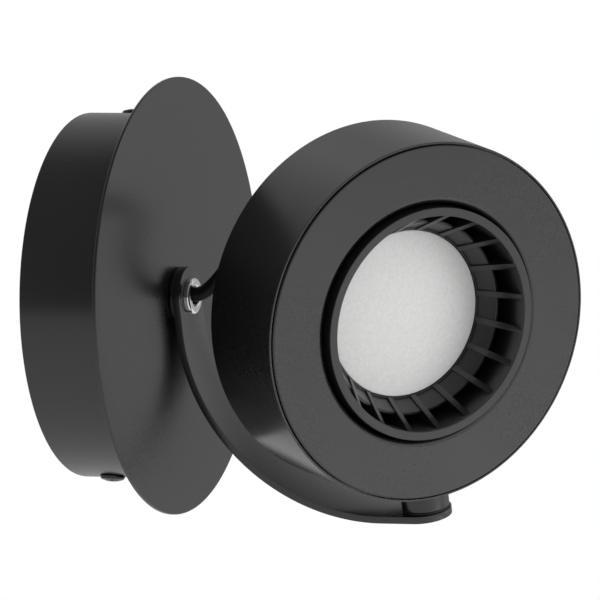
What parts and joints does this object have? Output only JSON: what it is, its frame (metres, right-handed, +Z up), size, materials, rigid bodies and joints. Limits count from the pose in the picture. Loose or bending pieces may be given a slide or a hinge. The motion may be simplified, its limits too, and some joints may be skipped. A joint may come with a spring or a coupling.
{
  "type": "pivoting spotlight wall light",
  "caption": "Wall spotlight: a round canopy with a larger thin disc, a curved flat-strip arm and a drum-shaped head that swivels on the arm and holds a finned lamp.",
  "frame": {"origin": "centre of the canopy's back face, on the wall, on the axis of the arm's bolt", "axes": "+Z up, the light stands out from the wall along -Y, +Y points into the wall, +X to the right seen from the room"},
  "size_m": [0.12, 0.1315, 0.122],
  "materials": {
    "black_coat": "fine matt powder coat",
    "black_alloy": "matt black coated casting",
    "black_steel": "blackened steel",
    "zinc_steel": "zinc plated",
    "bright_chrome": "polished",
    "galvanised": "galvanised sheet",
    "black_plastic": "slightly rough",
    "cable_black": "smooth soft sheath",
    "rubber_black": "matt moulded",
    "white_plastic": "moulded",
    "driver_case": "moulded",
    "brass": "plain",
    "wire_red": "smooth insulation",
    "wire_blue": "smooth insulation",
    "frosted": "frosted",
    "board_white": "solder resist",
    "led_yellow": "phosphor"
  },
  "bodies": {
    "root": {"wall_bracket": "galvanised", "canopy_drum": "black_coat", "backplate_disc": "black_coat", "side_screws": "black_steel", "hollow_bolt": "bright_chrome", "friction_washer": "black_steel", "spring_washer": "zinc_steel", "lock_nut": "zinc_steel", "canopy_lead": "cable_black", "cord_clamp": "white_plastic", "clamp_screws": "zinc_steel", "terminal_block": "white_plastic", "terminal_screws": "zinc_steel", "block_screws": "zinc_steel", "earth_screw": "zinc_steel", "earth_washer": "brass", "driver": "driver_case", "driver_screws": "zinc_steel", "output_terminal": "white_plastic", "output_wires": "wire_red", "input_wires": "wire_blue"},
    "arm": {"arm_strap": "black_coat", "swivel_washer": "black_plastic", "head_cable": "cable_black"},
    "head": {"head_shell": "black_coat", "front_plate": "black_coat", "plate_pillars": "galvanised", "rear_screws": "black_steel", "lamp_body": "black_alloy", "diffuser": "frosted", "led_board": "board_white", "led_chips": "led_yellow", "board_screws": "zinc_steel", "lamp_bridge": "galvanised", "bridge_screws": "black_steel", "lamp_screws": "zinc_steel", "lamp_terminal": "white_plastic", "head_lead": "cable_black", "cable_grommet": "rubber_black", "pivot_spacer": "black_coat", "pivot_screw": "black_steel", "saddle_washer": "zinc_steel", "pivot_spring": "zinc_steel", "pivot_nut": "zinc_steel"}
  },
  "joints": [
    {"name": "arm_swing", "type": "hinge", "parent": "root", "child": "arm", "pos_m": [0, -0.0265, 0], "axis": [0, -1, 0], "range_deg": [-187.5, 152.5]},
    {"name": "head_swivel", "type": "hinge", "parent": "arm", "child": "head", "pos_m": [0, -0.0919, 0], "axis": [0.3007, 0, -0.9537], "range_deg": [-112.5, 37.5], "deforming": ["head_cable"]}
  ]
}
